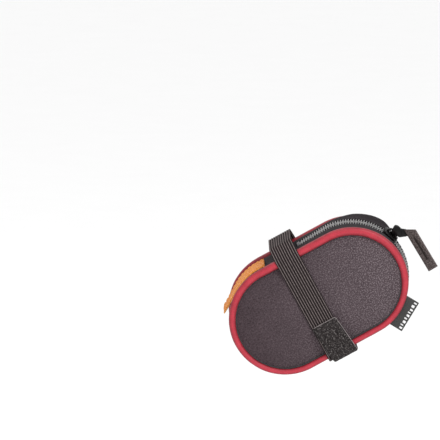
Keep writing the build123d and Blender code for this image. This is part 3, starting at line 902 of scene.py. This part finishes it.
# ---- label
LABEL_ANGLE = radians(-59.5)
LABEL_OUT = ALONG * cos(LABEL_ANGLE) + UPWARD * sin(LABEL_ANGLE)
LABEL_ALONG = -ALONG * sin(LABEL_ANGLE) + UPWARD * cos(LABEL_ANGLE)
LABEL_LENGTH, LABEL_ROOT, LABEL_REACH, LABEL_N = 23.4, 34.8, 47.5, 25.6
LABEL_FACE, LABEL_LEAN, LABEL_WAVE = 0.42, 0.9, 0.25
MARK_WIDTHS, MARK_MARGIN, MARK_HEIGHT = (1.3, 0.8, 1.8, 1.0, 1.5, 0.8, 1.3, 1.8, 1.0), 1.2, 2.2


def label_n(out, along):
    """Where the label's middle lies: its free edge leans away from the side."""
    lean = LABEL_LEAN * np.clip((out - REAR_RADIUS) / (LABEL_REACH - REAR_RADIUS), 0, 1) ** 1.6
    return LABEL_N + lean + LABEL_WAVE * np.sin(along / LABEL_LENGTH * 5.0)


def label_ribbon():
    """A ribbon folded in two along its outer edge, its raw ends in the seam."""
    outer, inner = np.linspace(LABEL_ROOT, LABEL_REACH - 0.5, 14), np.linspace(LABEL_ROOT, LABEL_REACH - 0.7, 14)
    ply = np.ones(14)
    out = np.hstack([outer, [LABEL_REACH - 0.1], outer[::-1], inner, [LABEL_REACH - 0.45], inner[::-1]])
    face = np.hstack([LABEL_FACE * ply, [0.0], -LABEL_FACE * ply, -0.12 * ply, [0.0], 0.12 * ply])
    a, o = np.meshgrid(np.linspace(-LABEL_LENGTH / 2, LABEL_LENGTH / 2, 24), out, indexing="ij")
    n = label_n(o, a) + face[None]
    points = REAR_CENTRE + MM * (o[..., None] * LABEL_OUT + a[..., None] * LABEL_ALONG + n[..., None] * OUTWARD)
    return skin("label_ribbon", points)


def label_marks():
    """A light band with plain dark gaps, which spells nothing."""
    gap = (LABEL_LENGTH - 2 * MARK_MARGIN - sum(MARK_WIDTHS)) / (len(MARK_WIDTHS) - 1)
    a = -LABEL_LENGTH / 2 + MARK_MARGIN
    pieces = []
    for k, width in enumerate(MARK_WIDTHS):
        high = LABEL_REACH - (1.0 if k % 2 == 0 else 1.4)
        low = high - MARK_HEIGHT
        n = float(label_n((low + high) / 2, a + width / 2)) + LABEL_FACE
        corners = [(low, a), (high, a), (high, a + width), (low, a + width)]
        pieces.append(solid(corners, REAR_CENTRE + OUTWARD * n * MM, (LABEL_OUT, LABEL_ALONG, OUTWARD), 0.16, 0.05, 1))
        a += width + gap
    return merge("label_marks", pieces)


ribbon = dress(label_ribbon(), RIBBON, "label_ribbon", "rear_flap", "label")
marks = dress(label_marks(), MARK, "label_mark", "rear_flap", "label_band")

# ---- strap and its closure
CORNER_RADIUS = PIPING_RADIUS + 0.3
# The circles that the strap goes round, as (n, t, radius): four piped corners and the two rails.
STRAP_CIRCLES = [
    (PIPING_N, -CORNER_T, CORNER_RADIUS), (PIPING_N, CORNER_T, CORNER_RADIUS),
    (RAIL_N, RAIL_T, RAIL_RADIUS + 0.05), (-RAIL_N, RAIL_T, RAIL_RADIUS + 0.05),
    (-PIPING_N, CORNER_T, CORNER_RADIUS), (-PIPING_N, -CORNER_T, CORNER_RADIUS),
]


def belt(spacing=1.2):
    """The strap's taut path: points (n, t) and outward normals, from the belly's near corner."""
    pairs = list(zip(STRAP_CIRCLES, STRAP_CIRCLES[1:] + STRAP_CIRCLES[:1]))
    tangents = [atan2(v - y, u - x) - acos((r - r2) / hypot(u - x, v - y)) for (x, y, r), (u, v, r2) in pairs]
    points, normals = [], []
    for k, ((x, y, r), (x2, y2, r2)) in enumerate(pairs):
        before, after = tangents[k - 1], tangents[k]
        turn = (after - before) % (2 * pi)
        for a in before + turn * np.linspace(0, 1, max(4, int(r * turn / 0.5)) + 1):
            normals.append((cos(a), sin(a)))
            points.append((x + r * cos(a), y + r * sin(a)))
        start, end = np.array(points[-1]), np.array([x2 + r2 * cos(after), y2 + r2 * sin(after)])
        for f in np.linspace(0, 1, int(np.linalg.norm(end - start) / spacing) + 1)[1:-1]:
            points.append(tuple(start + (end - start) * f))
            normals.append((cos(after), sin(after)))
    return np.array(points), np.array(normals)


def elastic():
    """The elastic loop: raised cords along its outer face, a flat inner face."""
    v = np.linspace(-STRAP_WIDTH / 2, STRAP_WIDTH / 2, CORDS * 8 + 1)
    ridge = 0.85 + 0.3 * (0.5 + 0.5 * np.cos(2 * pi * v * CORDS / STRAP_WIDTH + pi)) ** 0.8
    ridge[[0, -1]] = 0.55
    s = np.hstack([v, np.linspace(STRAP_WIDTH / 2 - 0.2, -STRAP_WIDTH / 2 + 0.2, 9)])
    n, t = offset(*belt(), np.hstack([ridge, np.full(9, 0.08)])[None])
    points = place(s[None], t, n)
    run, _ = lengths(points, True)
    across = np.hstack([s + STRAP_WIDTH / 2, [0.0]]) * MM
    return skin("elastic", points, uv=(run, np.broadcast_to(across[None], run.shape)), closed=True)


TAB_OFFSET, TAB_THICKNESS, TAB_BACKING = 1.8, 1.25, 0.45
TAB_TOP_T, TAB_FAR_N = -14.3, -14.0
TAB_HALF, TAB_LEAN, TAB_SHIFT = 9.3, 0.105, 0.6
TAB_COLUMNS, TAB_RIM_START = 30, 40
HOOK_PITCH = 0.95


def tab_path():
    """The loop tab's path, from under the belly up the near face."""
    path, normal = belt(0.8)
    order = np.arange(len(path))
    on_near = (path[:, 0] > 0) & (path[:, 1] < TAB_TOP_T)
    on_belly = (path[:, 1] < -CORNER_T) & (path[:, 0] > TAB_FAR_N)
    keep = order[on_near | on_belly]
    gap = np.argmax(np.diff(keep)) if np.any(np.diff(keep) > 1) else -1
    keep = np.hstack([keep[gap + 1 :], keep[: gap + 1]])
    return path[keep], normal[keep]


def loop_tab():
    """The fuzzy tab, pulled a little rearward: an uneven pile on a thin backing, and a worn rim."""
    path, normal = tab_path()
    path, normal = np.vstack([path, [path[-1][0], TAB_TOP_T]]), np.vstack([normal, normal[-1]])
    run = run_along(path)
    left = (run[-1] - run)[:, None]
    half_w = TAB_HALF - 0.9 * np.clip(1 - left / 1.6, 0, 1) ** 2
    lean = TAB_SHIFT + TAB_LEAN * np.clip(TAB_TOP_T - path[:, 1], 0, None)
    share = np.linspace(-1, 1, TAB_COLUMNS)
    s_front = half_w * share[None]
    pile = uneven(run[:, None], s_front, 1.4, 0.5, 4.0) + uneven(run[:, None], s_front, 0.8, 0.3, 6.0)
    soft_edge = np.clip((1 - np.abs(share)) / 0.06, 0, 1) ** 0.5 * np.clip(left / 0.8, 0, 1) ** 0.5
    front = TAB_OFFSET + TAB_BACKING + (TAB_THICKNESS - TAB_BACKING + 0.3 * pile) * soft_edge
    back = np.full((len(path), 8), TAB_OFFSET)
    s = np.hstack([s_front, half_w * np.linspace(0.98, -0.98, 8)[None]]) + lean[:, None]
    n, t = offset(path, normal, np.hstack([front, back]))
    points = place(s, t, n)
    edge = TAB_COLUMNS - 1
    rim = np.vstack([points[TAB_RIM_START:-1, edge], points[-1, edge:0:-1]]) + 0.15 * MM * OUTWARD
    return skin("loop_tab", points), tube("loop_tab_rim", rim, 0.28, 6)


def hook_bed():
    """The hook patch: a thin backing with rows of small hooks."""
    base_n = PIPING_N + CORNER_RADIUS + 1.2
    low, high, half_w = -CORNER_T + 0.5, TAB_TOP_T - 1.5, STRAP_WIDTH / 2 - 1.5
    corners = [(low, -half_w), (high, -half_w), (high, half_w), (low, half_w)]
    bed = solid(corners, CENTRE + OUTWARD * base_n * MM, (UPWARD, ALONG, OUTWARD), 0.22, 0.06, 1)
    stem = np.array([[0, 0, 0.15], [0, 0, 0.32], [0.22, 0, 0.42], [0.34, 0, 0.34]])
    radius = np.array([0.12, 0.11, 0.1, 0.05])
    hooks = []
    for t in np.arange(low + 0.6, high - 0.3, HOOK_PITCH):
        for s in np.arange(-half_w + 0.6, half_w - 0.3, HOOK_PITCH):
            hooks.append(thread(place(s + stem[:, 1], t + stem[:, 0], base_n + stem[:, 2]), radius, 5))
    return merge("hook_bed", [bed, bundle("hooks", hooks, 5, smooth=False)])


strap = dress(elastic(), STRAP, "strap_elastic", "root", "elastic_strap")
belt_path, _ = belt()
dress(hook_bed(), HOOKS, "hook_tape", "root", "hook_patch")
TAB_BEND = ("strap_tab", (0, -CORNER_T - 0.8, PIPING_N), (0, -CORNER_T + 1.6, PIPING_N))
tab, tab_rim = loop_tab()
dress(tab, LOOP, "loop_tape", TAB_BEND, "loop_tab_base", "loop_tab_end")
dress(tab_rim, RIM, "loop_tape", TAB_BEND)
tab_flat = (2 * TAB_HALF * MM, run_along(tab_path()[0])[-1] * MM)

# ---- rub guard
GUARD_RADIUS = FRONT_RADIUS - GUSSET_INSET + 1.1
GUARD_HALF, GUARD_TAIL = 17.0, 18.0
GUARD_THICKNESS, GUARD_EDGE_ROUND = 0.9, 0.25
GUARD_SEAMS = (-GUARD_HALF + 1.5, -GUARD_HALF + 4.5, GUARD_HALF - 4.5, GUARD_HALF - 1.5)


def guard_line(steps_arc=24, steps_tail=14):
    """The guard's middle line (s, t) and its normals: over the nose, then straight off it."""
    turn = np.radians(np.linspace(83.0, 123.0, steps_arc))
    arc = np.stack([FRONT_S + GUARD_RADIUS * np.cos(turn), GUARD_RADIUS * np.sin(turn)], -1)
    normal = np.stack([np.cos(turn), np.sin(turn)], -1)
    ahead = np.array([-normal[-1][1], normal[-1][0]])
    tail = arc[-1] + np.linspace(0, GUARD_TAIL, steps_tail)[1:, None] * ahead
    return np.vstack([arc, tail]), np.vstack([normal, np.repeat(normal[-1:], steps_tail - 1, 0)])


def guard_sheet():
    """A thin sheet with soft edges and a slight wave at its free end."""
    line, normal = guard_line()
    run = np.linspace(0, 1, len(line))[:, None]
    n = np.linspace(-GUARD_HALF, GUARD_HALF, 33)
    wave = uneven(40 * run, n, 15.0, 0.6, 9.0)
    wave = wave * np.clip((run - 0.4) / 0.6, 0, 1)
    outer, inner = wave + GUARD_THICKNESS / 2, wave - GUARD_THICKNESS / 2
    outer[:, [0, -1]] -= GUARD_EDGE_ROUND
    inner[:, [0, -1]] += GUARD_EDGE_ROUND
    s, t = offset(line, normal, np.hstack([outer, inner[:, ::-1]]))
    return skin("guard_sheet", place(s, t, np.hstack([n, n[::-1]])[None]))


guard = dress(guard_sheet(), GUARD, "guard_fabric", "root", "front_guard")
line, normal = guard_line()
face = line + normal * 0.5
for k, n in enumerate(GUARD_SEAMS):
    row = stitches(f"guard_stitch_{k}", place(face[:, 0], face[:, 1], n), 0.9, 2.4, 0.3)
    dress(row, PALE_THREAD, "guard_fabric", "root")

# ---- what stays from the frame
for name, mat in (("far_foam", FOAM), ("far_lining", LINING), ("zip_stops_near", TEETH), ("zip_stops_far", TEETH)):
    for slot in frame["nodes"][name].material_slots:
        slot.material = mat.material

# ---- floor, light and camera
FLOOR_Z, FLOOR_HALF = -0.30, 6.0
BAG = (0.03, 0.0, -0.03)


def aim(obj, at, target):
    """Puts a light or the camera in the scene, turned towards a target."""
    obj.location = at
    obj.rotation_euler = (Vector(target) - Vector(at)).to_track_quat("-Z", "Y").to_euler()
    scene.collection.objects.link(obj)


corners = [(x * FLOOR_HALF, y * FLOOR_HALF, FLOOR_Z) for x, y in ((-1, -1), (1, -1), (1, 1), (-1, 1))]
floor = build("floor", corners, [(0, 1, 2, 3)], smooth=False)
mat = Mat("floor_paint", 0.9, coords="Object")
mat.colour(mat.speckle(60.0), (0.93, 0.93, 0.93), (0.96, 0.96, 0.96))
floor.data.materials.append(mat.material)
world = bpy.data.worlds.new("studio")
world.use_nodes = True
background = world.node_tree.nodes["Background"].inputs
background[0].default_value, background[1].default_value = (1.0, 1.0, 1.0, 1.0), 1.0
scene.world = world
for name, at, size, power in (("key", (0.75, -0.9, 1.1), 0.3, 11), ("top", (-0.5, 0.2, 1.6), 0.6, 5)):
    lamp = bpy.data.lights.new(name, "AREA")
    lamp.shape, lamp.size, lamp.energy = "DISK", size, power
    aim(bpy.data.objects.new(name, lamp), at, BAG)

# The camera's axis meets the near side's plane ahead of and above the bag.
FRAME_WIDTH = 440 * 0.696 * MM
CAMERA_AIM = Vector((-0.0440, -0.031, 0.0221))
CAMERA_DISTANCE = 3.0
CAMERA_RISE = radians(8.2)
camera_data = bpy.data.cameras.new("camera")
camera_data.lens = camera_data.sensor_width * CAMERA_DISTANCE / FRAME_WIDTH
camera = bpy.data.objects.new("camera", camera_data)
aim(camera, CAMERA_AIM + CAMERA_DISTANCE * Vector((0, -cos(CAMERA_RISE), sin(CAMERA_RISE))), CAMERA_AIM)
scene.camera = camera
scene.view_settings.view_transform = "Standard"
